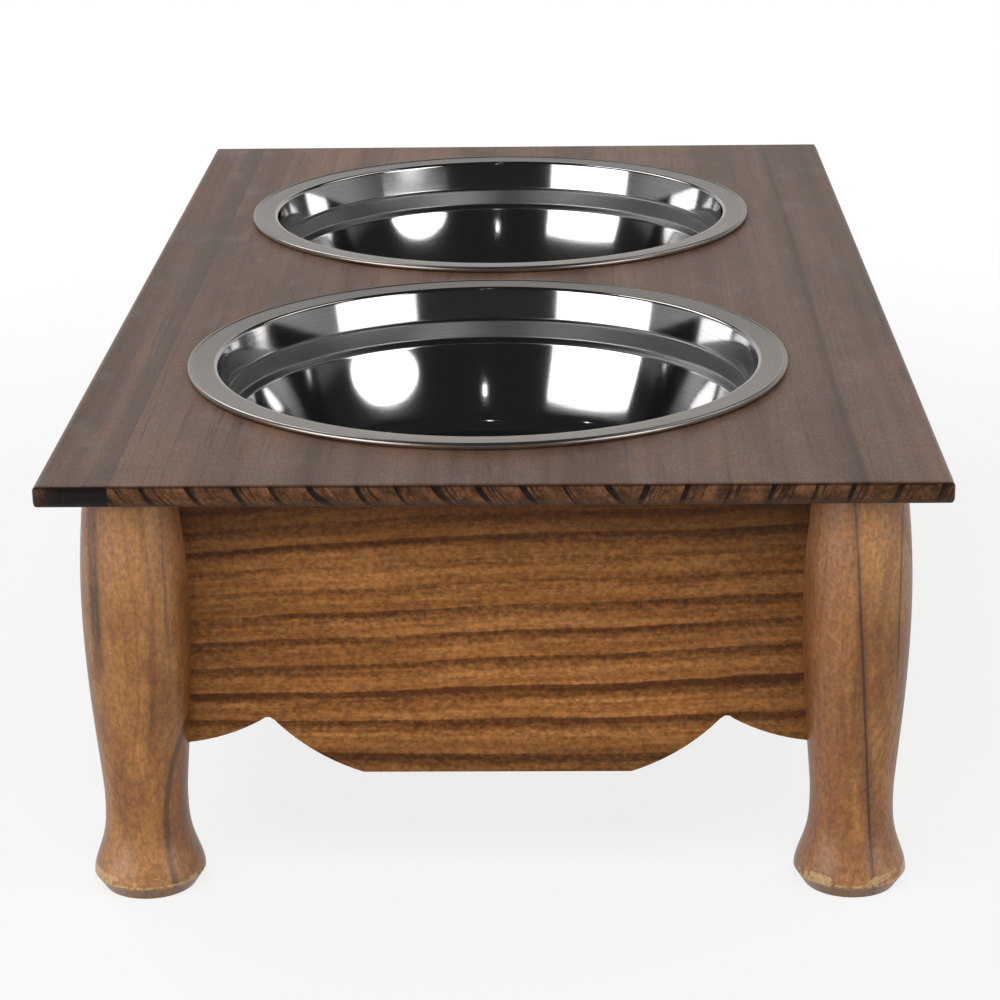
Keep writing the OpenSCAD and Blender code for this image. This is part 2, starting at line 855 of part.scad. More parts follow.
// Place and direction of the knob's screw, at the inner face of the drawer's face
module knob_screw_place() {
    translate([face_in_x, 0, knob_z])
        rotate([0, 90, 0])
            children();
}

module screw_shank_hole() {
    translate([0, 0, -over])
        cylinder(h = face_t + knob_screw_bite + over + screw_fit, r = knob_screw_r + screw_fit);
}

// Turned wooden knob
module drawer_knob() {
    head_z = knob_foot_h + knob_neck_l;
    head = [for (i = [0:short_steps])
        let (a = -knob_shoulder + (90 + knob_shoulder) * i / short_steps)
        [knob_r * cos(a), head_z + knob_head_l / 2 * (1 + sin(a))]];
    neck = arc([knob_foot_r, knob_foot_h], head[0], knob_foot_r - knob_neck_r, short_steps);
    color(LEG_WOOD)
        difference() {
            translate([face_out_x, 0, knob_z])
                rotate([0, 90, 0])
                    rotate_extrude()
                        polygon(concat([[0, 0], [knob_foot_r, 0]], neck,
                            [for (i = [1:short_steps]) head[i]]));
            knob_screw_place()
                screw_shank_hole();
        }
}

// Round-headed screw through the drawer's face into the knob
module knob_screw() {
    len = face_t + knob_screw_bite;
    dome = arc([0, -knob_screw_head_h], [knob_screw_head_r, 0], -knob_screw_dome, short_steps);
    color(SCREW_METAL)
        knob_screw_place()
            rotate_extrude()
                polygon(concat([[0, len]], dome,
                    [[knob_screw_r, 0], [knob_screw_r, len - tip_l], [knob_screw_r * tip_part, len]]));
}

top_panel();
leg(-1, -1);  // leg_front_left
leg(1, -1);  // leg_front_right
leg(-1, 1);  // leg_rear_left
leg(1, 1);  // leg_rear_right
end_apron(-1);  // end_apron_front
end_apron(1);  // end_apron_rear
side_apron_left();
side_apron_right();
corner_block(-1, -1);  // corner_block_front_left
corner_block(1, -1);  // corner_block_front_right
corner_block(-1, 1);  // corner_block_rear_left
corner_block(1, 1);  // corner_block_rear_right
corner_block_screws();
top_screws();
centre_batten();
drawer_runner(-1);  // drawer_runner_front
drawer_runner(1);  // drawer_runner_rear
drawer_kicker(-1);  // drawer_kicker_front
drawer_kicker(1);  // drawer_kicker_rear
kicker_screws();
bowl(-1);  // bowl_front
bowl(1);  // bowl_rear
drawer_face();
drawer_side(-1);  // drawer_side_front
drawer_side(1);  // drawer_side_rear
drawer_back();
drawer_bottom();
drawer_stop(-1);  // drawer_stop_front
drawer_stop(1);  // drawer_stop_rear
drawer_knob();
knob_screw();
drawer_screws();
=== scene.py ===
import math

import bmesh
import bpy
from mathutils import Matrix, Vector


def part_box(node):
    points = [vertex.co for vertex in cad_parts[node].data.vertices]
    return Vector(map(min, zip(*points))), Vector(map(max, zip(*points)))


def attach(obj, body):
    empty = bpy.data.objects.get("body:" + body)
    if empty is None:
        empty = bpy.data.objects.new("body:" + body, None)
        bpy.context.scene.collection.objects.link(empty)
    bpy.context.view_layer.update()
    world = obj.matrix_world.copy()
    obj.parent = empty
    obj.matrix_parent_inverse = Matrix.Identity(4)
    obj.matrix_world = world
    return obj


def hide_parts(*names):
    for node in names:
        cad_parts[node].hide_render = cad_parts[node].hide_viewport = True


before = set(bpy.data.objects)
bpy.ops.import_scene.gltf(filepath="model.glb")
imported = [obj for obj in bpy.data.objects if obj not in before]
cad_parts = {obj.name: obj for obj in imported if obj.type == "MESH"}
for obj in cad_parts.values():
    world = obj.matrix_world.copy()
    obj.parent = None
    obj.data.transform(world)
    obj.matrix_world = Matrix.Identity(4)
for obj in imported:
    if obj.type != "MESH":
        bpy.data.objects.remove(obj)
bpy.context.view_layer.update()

# Places and sizes read from the solids in model.glb, in metres
BOARD_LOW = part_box("top_panel")[0].z
BOARD_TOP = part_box("top_panel")[1].z
LEG_LOW, LEG_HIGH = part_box("leg_front_right")
LEG_X = (LEG_LOW.x + LEG_HIGH.x) / 2
LEG_Y = abs(LEG_LOW.y + LEG_HIGH.y) / 2
LEG_TOP = LEG_HIGH.z
APRON_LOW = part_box("end_apron_front")[0].z
BOWL_LOW, BOWL_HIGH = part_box("bowl_front")
BOWL_X = (BOWL_LOW.x + BOWL_HIGH.x) / 2
BOWL_Y = abs(BOWL_LOW.y + BOWL_HIGH.y) / 2
RIM_R = (BOWL_HIGH.x - BOWL_LOW.x) / 2

# Joints between the three planks of the top board, from the left
LEFT_JOINT = -0.1565
RIGHT_JOINT = 0.0555

# Half the width of a leg where the end of an apron disappears into it
LEG_COVER = 0.02

# Heights on a leg: the narrow neck, and the rim of the foot with the edge under it
NECK_Z = 0.054
RIM_Z = 0.008
EDGE_Z = 0.0066

# Sheet of a bowl: heights are below the top of the board, and radii are of the inner face
MOUTH_R = 0.1266
STEP_R = 0.1209
DISH_R = 0.1175
STEP_TOP = 0.0137
DISH_TOP = 0.0242
DEPTH = 0.066
SHEET = 0.0008
BEAD_R = 0.0015
BEAD_GAP = 0.0002

# Satin band of a bowl and the lips above and below it, where painted shade darkens the creases, as heights
# below the top of the board
BAND_MIDDLE = 0.0187
BAND_HALF = 0.0056
UPPER_LIP = 0.0134
LOWER_LIP = 0.0235


def linear(colour):
    """An sRGB colour, with parts from 0 to 255, as a linear one with parts from 0 to 1."""
    out = []
    for part in colour:
        part /= 255
        out.append(part / 12.92 if part <= 0.04045 else ((part + 0.055) / 1.055) ** 2.4)
    return (*out, 1.0)


class Graph:
    """The node tree of a material or world, with short calls for the nodes that the surfaces need."""

    def __init__(self, owner, place="Object"):
        owner.use_nodes = True
        self.owner = owner
        self.tree = owner.node_tree
        self.tree.nodes.clear()
        self.point = self.add("ShaderNodeTexCoord").outputs[place]
        self.x, self.y, self.z = self.add("ShaderNodeSeparateXYZ", Vector=self.point).outputs

    def add(self, kind, **given):
        """A node of this kind, with its sockets and settings given by name."""
        node = self.tree.nodes.new(kind)
        for key, value in given.items():
            name = key.replace("_", " ")
            if name in node.inputs:
                self.put(node.inputs[name], value)
            else:
                setattr(node, key, value)
        return node

    def put(self, socket, value):
        if isinstance(value, bpy.types.NodeSocket):
            self.tree.links.new(value, socket)
        else:
            socket.default_value = value

    def fill(self, node, values):
        """Sets the node's first sockets in order and gives its first output."""
        for socket, value in zip(node.inputs, values):
            self.put(socket, value)
        return node.outputs[0]

    def math(self, operation, *values, clamp=False):
        return self.fill(self.add("ShaderNodeMath", operation=operation, use_clamp=clamp), values)

    def chain(self, operation, values):
        result = values[0]
        for value in values[1:]:
            result = self.math(operation, result, value)
        return result

    def total(self, *values):
        return self.chain("ADD", values)

    def product(self, *values):
        return self.chain("MULTIPLY", values)

    def highest(self, *values):
        return self.chain("MAXIMUM", values)

    def minus(self, value, less):
        return self.math("SUBTRACT", value, less)

    def hypot(self, a, b):
        return self.math("SQRT", self.total(self.product(a, a), self.product(b, b)))

    def scaled(self, value, factor, offset=0.0):
        return self.math("MULTIPLY_ADD", value, factor, offset)

    def shift(self, noise, size):
        """A noise from 0 to 1 as a shift of half of size either way."""
        return self.scaled(noise, size, -size / 2)

    def step(self, value, low, high, out_low=0.0, out_high=1.0):
        """Goes smoothly from out_low at low to out_high at high."""
        node = self.add("ShaderNodeMapRange", interpolation_type="SMOOTHSTEP")
        return self.fill(node, (value, low, high, out_low, out_high))

    def near(self, value, middle, half, soft):
        """1 within half of middle, falling to 0 over soft."""
        away = self.math("ABSOLUTE", self.minus(value, middle))
        return self.step(away, half, half + soft, 1.0, 0.0)

    def noise(self, vector, scale=1.0, detail=2.0, roughness=0.5):
        node = self.add("ShaderNodeTexNoise", Scale=scale, Detail=detail, Roughness=roughness)
        self.put(node.inputs["Vector"], vector)
        return node.outputs[0]

    def grain(self, *axes, scale=1.0, detail=2.0, roughness=0.5):
        """Noise over three axes, each a (value, cells per unit) pair or one that is taken as it is."""
        parts = [self.scaled(*axis) if isinstance(axis, tuple) else axis for axis in axes]
        vector = self.fill(self.add("ShaderNodeCombineXYZ"), parts)
        return self.noise(vector, scale, detail, roughness)

    def curve(self, value, stops):
        """A smooth curve through (place, height) pairs, as a number."""
        node = self.add("ShaderNodeValToRGB")
        node.color_ramp.interpolation = "EASE"
        elements = node.color_ramp.elements
        while len(elements) < len(stops):
            elements.new(0.5)
        for element, (place, height) in zip(elements, stops):
            element.position = place
            element.color = (height, height, height, 1)
        return self.fill(node, [value])

    def mix(self, factor, a, b):
        node = self.add("ShaderNodeMix", data_type="RGBA")
        self.put(node.inputs[0], factor)
        for socket, colour in ((node.inputs[6], a), (node.inputs[7], b)):
            self.put(socket, colour if isinstance(colour, bpy.types.NodeSocket) else linear(colour))
        return node.outputs[2]

    def layers(self, colour, *coats):
        """Coats over a colour, each given as (where, how strong, its colour)."""
        for where, strength, coat in coats:
            colour = self.mix(self.product(where, strength), colour, coat)
        return colour

    def shade(self, colour, factor):
        """The colour times a number."""
        node = self.add("ShaderNodeVectorMath", operation="SCALE")
        self.put(node.inputs[0], colour)
        self.put(node.inputs["Scale"], factor)
        return node.outputs[0]

    def normal(self):
        """The three parts of the surface's direction."""
        outward = self.add("ShaderNodeNewGeometry").outputs["Normal"]
        return self.add("ShaderNodeSeparateXYZ", Vector=outward).outputs

    def bump(self, height, distance, strength):
        return self.add("ShaderNodeBump", Height=height, Distance=distance, Strength=strength).outputs[0]

    def surface(self, **given):
        shader = self.add("ShaderNodeBsdfPrincipled", **given)
        self.add("ShaderNodeOutputMaterial", Surface=shader.outputs[0])
        return self.owner


def new_graph(name):
    return Graph(bpy.data.materials.new(name))


# Top board


def end_grain(g, across, turn, streak, below, first):
    """The cut ends: crowded fine rings, dark late wood and a duller band along the lower edge."""
    speck = g.noise(g.point, 640.0, 3.0, 0.7)
    coarse = g.grain((across, 150.0), 0.0, (g.z, 170.0), detail=3.0, roughness=0.65)
    fine_rings = g.grain((across, 900.0), 1.0, (g.z, 70.0), roughness=0.6)
    crowded = g.step(turn, 0.62, 0.5, 0.25, 0.85)
    low_band = g.step(below, 0.0058, 0.0074)
    late = g.step(g.total(streak, g.shift(speck, 0.8)), 0.25, 0.75)
    dark_plank = g.mix(g.step(coarse, 0.58, 0.72), (18, 13, 12), (62, 42, 32))
    colour = g.layers(
        g.mix(g.step(coarse, 0.36, 0.66), (76, 49, 30), (130, 88, 58)),
        (g.step(fine_rings, 0.48, 0.6), crowded, (40, 24, 14)),
        (low_band, 0.4, (98, 78, 64)),
        (late, g.scaled(low_band, -0.35, 0.97), (16, 10, 7)),
        (first, g.step(g.x, -0.186, -0.176, 0.5, 1.0), dark_plank),
        # painted shade: the ends grow darker towards the right
        (g.step(g.x, 0.10, 0.17), 0.3, (40, 26, 18)),
    )
    return g.shade(colour, g.scaled(speck, 1.9, 0.05))


def face_grain(g, across, streak, drift, first, last):
    """The flat side of the planks: grain, veins, paler patches, a painted sheen towards the back and far
    left, dark lines and the joints.
    """
    grain = g.grain((across, 300.0), (g.y, 6.0), 2.0, detail=3.0, roughness=0.6)
    veins = g.near(g.grain((across, 150.0), (g.y, 2.6), 5.0), 0.56, 0.004, 0.022)
    bands = g.grain((across, 42.0), (g.y, 1.6), 9.0)
    blotch = g.grain((g.x, 60.0), (g.y, 26.0), 8.0, detail=3.0, roughness=0.6)
    colour = g.layers(
        g.mix(g.step(bands, 0.32, 0.68), (101, 75, 60), (134, 103, 83)),
        (g.step(grain, 0.50, 0.72), 0.32, (72, 55, 46)),
        (veins, g.step(blotch, 0.40, 0.60, 0.06, 0.6), (58, 43, 36)),
        (streak, 0.16, (70, 54, 46)),
        (g.step(blotch, 0.50, 0.68), 0.42, (132, 116, 107)),
    )
    # painted sheen: brighter towards the back of the board, and more so at the far left
    far_left_sheen = g.product(g.step(g.y, 0.0, 0.25), g.step(g.x, -0.06, -0.17, 0.0, 0.24))
    colour = g.shade(colour, g.total(g.step(g.y, -0.10, 0.30, 1.0, 1.15), far_left_sheen))
    edge_band = g.product(first, g.step(g.x, -0.168, -0.161))
    thin_line = g.near(g.total(g.x, g.shift(drift, 0.012)), 0.1535, 0.0006, 0.0022)
    wide_line = g.near(g.total(g.x, g.shift(drift, 0.010)), 0.1765, 0.0008, 0.004)
    left_seam, right_seam = (g.near(g.x, joint, 0.00012, 0.0004) for joint in (LEFT_JOINT, RIGHT_JOINT))
    return g.layers(
        colour,
        (edge_band, 0.5, (82, 68, 62)),
        (last, 0.16, (146, 124, 110)),
        (g.highest(thin_line, g.scaled(wide_line, 0.6)), 0.4, (60, 46, 40)),
        (g.highest(left_seam, g.scaled(right_seam, 0.7)), 0.4, (54, 41, 36)),
    )


def top_wood():
    """Dark stained planks that run from front to back, cut across their rings at both ends."""
    g = new_graph("top_wood")
    below = g.minus(BOARD_TOP, g.z)
    normal = g.normal()
    facing = g.math("ABSOLUTE", normal[1])
    end = g.step(facing, 0.45, 0.62)
    first = g.math("LESS_THAN", g.x, LEFT_JOINT)
    last = g.math("GREATER_THAN", g.x, RIGHT_JOINT)

    # distance across the growth rings, which lean the other way in the last plank
    lean_left = g.product(below, g.scaled(below, -32.0, -0.45))
    lean_right = g.scaled(below, 0.42)
    lean = g.total(lean_left, g.product(last, g.minus(lean_right, lean_left)))
    drift = g.grain((g.x, 9.0), (g.y, 1.3), 0.0)
    spread = g.grain((g.x, 55.0), (g.y, 1.0), 4.0, detail=1.0)
    across = g.total(g.x, lean, g.shift(drift, 0.010), g.shift(spread, 0.009))
    ring_width = 0.0172
    turn = g.math("FRACT", g.scaled(across, 1 / ring_width, 20.35))
    streak = g.curve(
        turn,
        [
            (0.0, 0.0), (0.03, 1.0), (0.13, 0.85), (0.19, 0.15), (0.24, 0.0), (0.29, 0.6),
            (0.33, 0.1), (0.41, 0.55), (0.45, 0.0), (0.8, 0.25), (0.86, 0.0),
        ],
    )
    streak = g.product(streak, g.step(g.grain((across, 48.0), 7.0, 0.0, detail=0.0), 0.36, 0.58, 0.6, 1.0))

    fibre = g.grain((g.x, 1300.0), (g.y, 60.0), (g.z, 400.0), detail=3.0, roughness=0.6)
    pores = g.grain((g.x, 760.0), (g.y, 300.0), 3.0, detail=3.0, roughness=0.7)
    cloud = g.noise(g.point, 22.0, 4.0, 0.62)
    worn = g.total(g.scaled(fibre, 0.4), g.step(pores, 0.3, 0.7, 0.0, 0.46), g.scaled(cloud, 0.95), 0.09)
    face = g.shade(face_grain(g, across, streak, drift, first, last), worn)

    # a dark line along the rounded arris of the ends
    arris = g.product(g.near(normal[2], 0.80, 0.06, 0.12), g.step(facing, 0.3, 0.5))
    colour = g.mix(end, face, end_grain(g, across, turn, streak, below, first))
    colour = g.layers(colour, (arris, 0.7, (32, 20, 15)))
    relief = g.total(g.scaled(fibre, 0.45), g.scaled(pores, 0.35), g.scaled(g.product(streak, end), -0.8))
    return g.surface(
        Base_Color=colour,
        Roughness=g.total(g.scaled(fibre, 0.12), g.scaled(cloud, 0.14), 0.27, g.scaled(end, 0.16)),
        Specular_IOR_Level=g.scaled(end, -0.3, 0.5),
        Normal=g.bump(relief, 0.00012, 0.6),
    )


# Legs


def leg_rings(g, side, local_x, local_y, wander, fork):
    """Distance from a pith outside the blank, so that the turned faces cut the rings at a slant."""
    inward, backward = 0.034, 0.021
    pith_x = g.minus(local_x, g.scaled(side, -inward))
    pith_y = g.minus(local_y, backward)
    return g.total(g.hypot(pith_x, pith_y), g.shift(wander, 0.016), g.shift(fork, 0.004))


def leg_arches(g, local_x, wander):
    """Arched figure where the neck cuts through the rings."""
    off = g.total(local_x, 0.0025)
    lift = g.total(g.z, g.scaled(g.product(off, off), -75.0), g.shift(wander, 0.03), -0.044)
    arch_height = 0.0095
    arches = g.curve(
        g.math("FRACT", g.scaled(lift, 1 / arch_height, 20.0)),
        [(0.0, 0.35), (0.1, 0.9), (0.2, 0.5), (0.5, 0.0), (0.9, 0.1), (1.0, 0.35)],
    )
    return g.product(arches, g.near(lift, 0.012, 0.014, 0.010))


def leg_marks(g, local_x, wander, fork, fibre, on_right):
    """Glued seams of the right front leg, and the dark streak, thin line and bent vein of the others."""
    down = g.minus(LEG_TOP, g.z)
    wavy_x = g.total(local_x, g.shift(fork, 0.0012))
    seam_start, seam_slope = -0.0046, 0.0734
    off_seam = g.minus(wavy_x, g.scaled(down, seam_slope, seam_start))
    stained = g.scaled(g.near(off_seam, 0.0, 0.0004, 0.0034), 0.45)
    seam = g.highest(g.near(off_seam, 0.0, 0.0003, 0.0007), stained)
    short_seam = g.product(g.near(wavy_x, 0.0162, 0.0002, 0.0006), g.step(g.z, 0.085, 0.12, 0.0, 0.8))
    seams = g.product(g.highest(seam, short_seam), on_right)

    streak = g.near(g.total(local_x, g.shift(wander, 0.006)), -0.0144, 0.0012, 0.0024)
    streak = g.product(streak, g.step(g.z, 0.088, 0.135), g.step(fibre, 0.30, 0.55, 0.55, 1.0))
    line_start, line_slope = 0.0145, 0.012
    line = g.near(g.minus(local_x, g.scaled(down, line_slope, line_start)), 0.0, 0.0002, 0.0008)
    line = g.product(line, g.step(g.z, 0.09, 0.12, 0.0, 0.4))
    bend_z, bend_x, bend_rate = 0.033, 0.0102, 5.0
    from_bend = g.minus(g.z, bend_z)
    bent_x = g.scaled(g.product(from_bend, from_bend), bend_rate, bend_x)
    bent = g.near(g.minus(local_x, bent_x), 0.0, 0.0004, 0.0015)
    bent = g.product(bent, g.step(g.z, 0.094, 0.070, 0.0, 0.75))
    streaks = g.product(g.highest(streak, line, bent), g.minus(1.0, on_right))
    return g.highest(seams, streaks)


def leg_wood():
    """Turned legs and the knob: warm brown wood with slanting rings and a worn rim at the foot."""
    g = new_graph("leg_wood")
    side = g.math("SIGN", g.x)
    local_x = g.minus(g.x, g.scaled(side, LEG_X))
    local_y = g.minus(g.y, g.scaled(g.math("SIGN", g.y), LEG_Y))
    on_right = g.product(g.math("LESS_THAN", g.y, 0.0), g.math("GREATER_THAN", g.x, 0.0))

    wander = g.grain((g.x, 14.0), (g.y, 14.0), (g.z, 5.0))
    fork = g.grain((g.x, 40.0), (g.y, 40.0), (g.z, 9.0))
    ring = leg_rings(g, side, local_x, local_y, wander, fork)
    ring_width = 0.0105
    turn = g.math("FRACT", g.scaled(ring, 1 / ring_width, 3.2))
    late = g.curve(turn, [(0.0, 0.1), (0.35, 0.0), (0.7, 0.3), (0.9, 1.0), (0.96, 0.8), (1.0, 0.1)])
    late = g.product(late, g.step(g.grain((ring, 190.0), side, (g.z, 9.0)), 0.42, 0.66, 0.05, 1.0))

    fibre = g.grain((g.x, 900.0), (g.y, 900.0), (g.z, 60.0), detail=3.0, roughness=0.6)
    mottle = g.grain((g.x, 560.0), (g.y, 560.0), (g.z, 400.0), detail=3.0, roughness=0.65)
    fleck = g.grain((g.x, 300.0), (g.y, 300.0), (g.z, 190.0), detail=3.0, roughness=0.65)
    cloud = g.grain((g.x, 48.0), (g.y, 48.0), (g.z, 22.0), detail=3.0, roughness=0.6)
    vein = g.grain((ring, 420.0), (side, 3.0), (g.z, 7.0), detail=3.0, roughness=0.6)
    # painted shade on the faces of the legs that turn to the left and right
    side_shade = g.step(g.math("ABSOLUTE", g.normal()[0]), 0.72, 0.98)
    red_third = g.product(on_right, g.step(g.total(local_x, g.shift(wander, 0.01)), -0.004, -0.009))
    # painted shadow at the top of the legs, under the board
    board_shadow = g.step(g.z, BOARD_LOW - 0.007, BOARD_LOW - 0.001)
    # painted highlight, pale and pinkish, on the foot and the top of the legs
    ends = g.highest(g.step(g.z, 0.034, 0.016), g.step(g.z, 0.120, 0.165))
    marks = leg_marks(g, local_x, wander, fork, fibre, on_right)
    colour = g.layers(
        g.mix(g.step(cloud, 0.32, 0.68), (146, 92, 46), (188, 132, 74)),
        (late, 0.42, (98, 56, 26)),
        (leg_arches(g, local_x, wander), 0.32, (88, 52, 28)),
        (g.step(vein, 0.50, 0.72), 0.5, (104, 62, 32)),
        (g.step(fleck, 0.50, 0.72), 0.18, (112, 68, 34)),
        (g.step(fleck, 0.46, 0.28), 0.18, (210, 160, 100)),
        (side_shade, 0.55, (100, 56, 30)),
        (red_third, 0.35, (146, 92, 60)),
        (board_shadow, 0.6, (48, 28, 16)),
        (marks, 0.9, (48, 27, 14)),
        (ends, 0.22, (206, 158, 124)),
    )
    # painted light: brighter at the foot and the top of the legs
    highlit_ends = g.total(g.step(g.z, 0.036, 0.016, 1.0, 1.04), g.step(g.z, 0.130, 0.165, 0.0, 0.18))
    paler_neck = g.scaled(g.near(g.z, NECK_Z, 0.010, 0.024), 0.16)
    colour = g.shade(colour, g.total(highlit_ends, paler_neck))

    # worn rim of the foot, most of all on its outer side, and painted shade on the underside below it
    chip = g.grain((g.x, 62.0), (g.y, 62.0), (g.z, 150.0), detail=3.0, roughness=0.62)
    kept = g.step(g.product(side, local_x), 0.002, 0.018, 0.58, 0.42)
    rim = g.product(g.near(g.z, RIM_Z, 0.0020, 0.0016), g.step(g.minus(chip, kept), 0.0, 0.03))
    edge = g.product(g.near(g.z, EDGE_Z, 0.0004, 0.0006), g.step(mottle, 0.40, 0.52))
    colour = g.layers(
        colour,
        (g.highest(rim, g.scaled(edge, 0.8)), 0.8, (222, 182, 128)),
        (g.step(g.z, 0.0060, 0.0046), 0.4, (104, 62, 36)),
    )
    colour = g.shade(colour, g.total(g.scaled(fibre, 0.3), g.step(mottle, 0.30, 0.68, 0.0, 0.48), 0.62))
    relief = g.total(
        g.scaled(fibre, 0.5),
        g.scaled(mottle, 0.7),
        g.scaled(late, -0.3),
        g.scaled(marks, -1.0),
        g.scaled(rim, -1.5),
    )
    return g.surface(
        Base_Color=colour,
        Roughness=g.total(g.scaled(mottle, 0.3), g.scaled(late, 0.08), 0.22),
        Specular_IOR_Level=0.5,
        Normal=g.bump(relief, 0.00016, 0.6),
    )


# Aprons and the inner woodwork


def apron_painted_light_and_shade(g, run, half):
    """Painted shade under the board, beside the legs and towards the right, painted light low down, and
    darker along the foot.
    """
    return g.product(
        g.step(g.z, BOARD_LOW - 0.044, BOARD_LOW + 0.002, 1.0, 0.46),
        g.step(g.math("ABSOLUTE", run), half - 0.070, half, 1.0, 0.74),
        g.step(run, 0.0, half, 1.0, 0.88),
        g.step(g.z, APRON_LOW + 0.022, APRON_LOW + 0.006, 1.0, 0.60),
        g.step(g.z, APRON_LOW + 0.060, APRON_LOW + 0.034, 1.0, 1.10),
    )


def apron_wood(name, along, offset):
    """Boards with bold rings that run along them; offset gives each kind a figure of its own."""
    g = new_graph(name)
    across_end = along == "X"
    run, depth = (g.x, g.y) if across_end else (g.y, g.x)
    half = (LEG_X if across_end else LEG_Y) - LEG_COVER
    slant, raised = (0.25, 0.0756) if across_end else (0.3, 0.0)
    length = g.total(run, offset)

    # the rings rise a little to the right, less so near the lower edge, and lie closer below
    rise = g.product(length, g.step(g.z, 0.055, 0.105, 0.0, 0.045))
    sway = g.grain((length, 7.0), offset, (g.z, 8.0), detail=1.5)
    ripple = g.grain((length, 45.0), offset, (g.z, 60.0))
    height = g.total(g.z, g.scaled(depth, slant), raised)
    level = g.total(height, g.scaled(rise, -1.0), g.shift(sway, 0.010), g.shift(ripple, 0.0016))
    figure_top, figure_tall = 0.159, 0.0986
    down = g.scaled(level, -1 / figure_tall, figure_top / figure_tall)
    turns = g.total(g.scaled(down, 8.0), g.product(g.scaled(down, 2.4), g.minus(1.0, down)))
    counted = g.total(turns, 40.0)
    late = g.curve(
        g.math("FRACT", counted),
        [
            (0.0, 0.25), (0.05, 0.9), (0.16, 0.95), (0.32, 0.6),
            (0.55, 0.2), (0.8, 0.0), (0.93, 0.06), (1.0, 0.25),
        ],
    )
    band = g.grain(0.0, offset, g.math("FLOOR", counted), scale=3.7, detail=0.0)
    uneven = g.grain((length, 11.0), 3.0, turns)
    weight = g.total(g.step(band, 0.3, 0.7, 0.35, 1.1), g.scaled(uneven, 0.5, -0.2))
    late = g.math("MULTIPLY", late, weight, clamp=True)

    fibre = g.grain((length, 70.0), (depth, 700.0), (g.z, 1000.0), detail=3.0, roughness=0.6)
    fine = g.grain((length, 16.0), (depth, 200.0), (level, 330.0), detail=3.0, roughness=0.6)
    fuzz = g.grain((length, 460.0), (depth, 600.0), (g.z, 640.0), roughness=0.6)
    patch = g.grain((length, 9.0), offset, (level, 34.0))
    late = g.step(g.total(late, g.shift(fine, -0.4), g.shift(fuzz, -0.5)), 0.0, 1.0)
    colour = g.layers(
        g.mix(g.step(fine, 0.3, 0.72), (152, 97, 49), (190, 130, 74)),
        (late, 0.9, (78, 37, 10)),
        # painted shadow under the board, in a deep brown
        (g.step(g.z, BOARD_LOW - 0.034, BOARD_LOW), 0.5, (92, 40, 8)),
    )
    grained = g.total(g.scaled(fibre, 0.3), g.step(fuzz, 0.28, 0.72, 0.0, 0.6), g.scaled(patch, 0.5), 0.3)
    relief = g.total(g.scaled(fibre, 0.6), g.scaled(late, 0.15), g.scaled(fuzz, 0.8))
    return g.surface(
        Base_Color=g.shade(colour, g.product(grained, apron_painted_light_and_shade(g, run, half))),
        Roughness=g.total(g.scaled(fuzz, 0.2), g.scaled(late, -0.06), 0.5),
        Specular_IOR_Level=0.22,
        Normal=g.bump(relief, 0.00016, 0.55),
    )


def plain_wood(name, along):
    """Pale wood without stain for what lies inside, with its grain along one axis."""
    g = new_graph(name)
    length, a, b = (g.x, g.y, g.z) if along == "X" else (g.y, g.x, g.z)
    sway = g.grain((length, 6.0), (a, 20.0), (b, 20.0))
    across = g.total(a, g.scaled(b, 0.4), g.scaled(sway, 0.02))
    ring_width = 0.0075
    late = g.curve(
        g.math("FRACT", g.scaled(across, 1 / ring_width, 30.0)),
        [(0.0, 0.1), (0.6, 0.05), (0.88, 0.7), (0.95, 0.8), (1.0, 0.1)],
    )
    fibre = g.grain((length, 30.0), (a, 900.0), (b, 900.0), detail=3.0, roughness=0.6)
    colour = g.layers((206, 172, 122), (late, 0.5, (168, 122, 72)))
    return g.surface(
        Base_Color=g.shade(colour, g.scaled(fibre, 0.3, 0.85)),
        Roughness=g.scaled(fibre, 0.2, 0.5),
        Normal=g.bump(fibre, 0.00015, 0.5),
    )


# Metal


def bowl_steel():
    """Brushed on the flange, satin on a band under the mouth and polished elsewhere."""
    g = new_graph("bowl_steel")
    dx = g.minus(g.x, BOWL_X)
    dy = g.minus(g.y, g.product(g.math("SIGN", g.y), BOWL_Y))
    radius = g.hypot(dx, dy)
    flange = g.step(radius, MOUTH_R - 0.0004, MOUTH_R + 0.0006)
    rings = g.grain((radius, 2600.0), (g.z, 2600.0), 0.0, detail=3.0, roughness=0.7)
    broad = g.grain((radius, 260.0), (g.z, 260.0), 5.0)
    hazy = g.noise(g.point, 18.0, 3.0, 0.6)
    around = g.math("ARCTAN2", dy, dx)
    brushed = g.grain((radius, 1800.0), (around, 3.0), (g.z, 1800.0), roughness=0.6)
    band = g.near(g.z, BOARD_TOP - BAND_MIDDLE, BAND_HALF, 0.0010)
    # painted shade along the creases at the step and at the top of the dish
    upper_lip = g.near(g.z, BOARD_TOP - UPPER_LIP, 0.0006, 0.0005)
    lower_lip = g.near(g.z, BOARD_TOP - LOWER_LIP, 0.0008, 0.0006)
    relief = g.total(
        g.product(rings, g.total(0.10, g.scaled(band, 0.1), g.scaled(flange, 0.8))),
        g.product(brushed, g.scaled(flange, 0.5)),
        g.scaled(broad, 0.35),
    )
    tint = g.layers(
        g.mix(flange, (196, 195, 194), (184, 176, 169)),
        (band, 0.5, (214, 215, 218)),
        (g.highest(upper_lip, lower_lip), 0.75, (70, 70, 70)),
    )
    return g.surface(
        Base_Color=g.shade(tint, g.scaled(brushed, 0.4, 0.8)),
        Metallic=1.0,
        Roughness=g.total(0.055, g.scaled(hazy, 0.05), g.scaled(band, 0.26), g.scaled(flange, 0.22)),
        Normal=g.bump(relief, 0.00002, 0.6),
    )


def screw_steel():
    """Dull zinc that is a little uneven."""
    g = new_graph("screw_steel")
    worn = g.noise(g.point, 700.0, 2.0, 0.6)
    return g.surface(
        Base_Color=g.mix(worn, (150, 150, 148), (186, 186, 182)),
        Metallic=1.0,
        Roughness=g.scaled(worn, 0.2, 0.28),
        Normal=g.bump(worn, 0.00005, 0.4),
    )


# Bowls


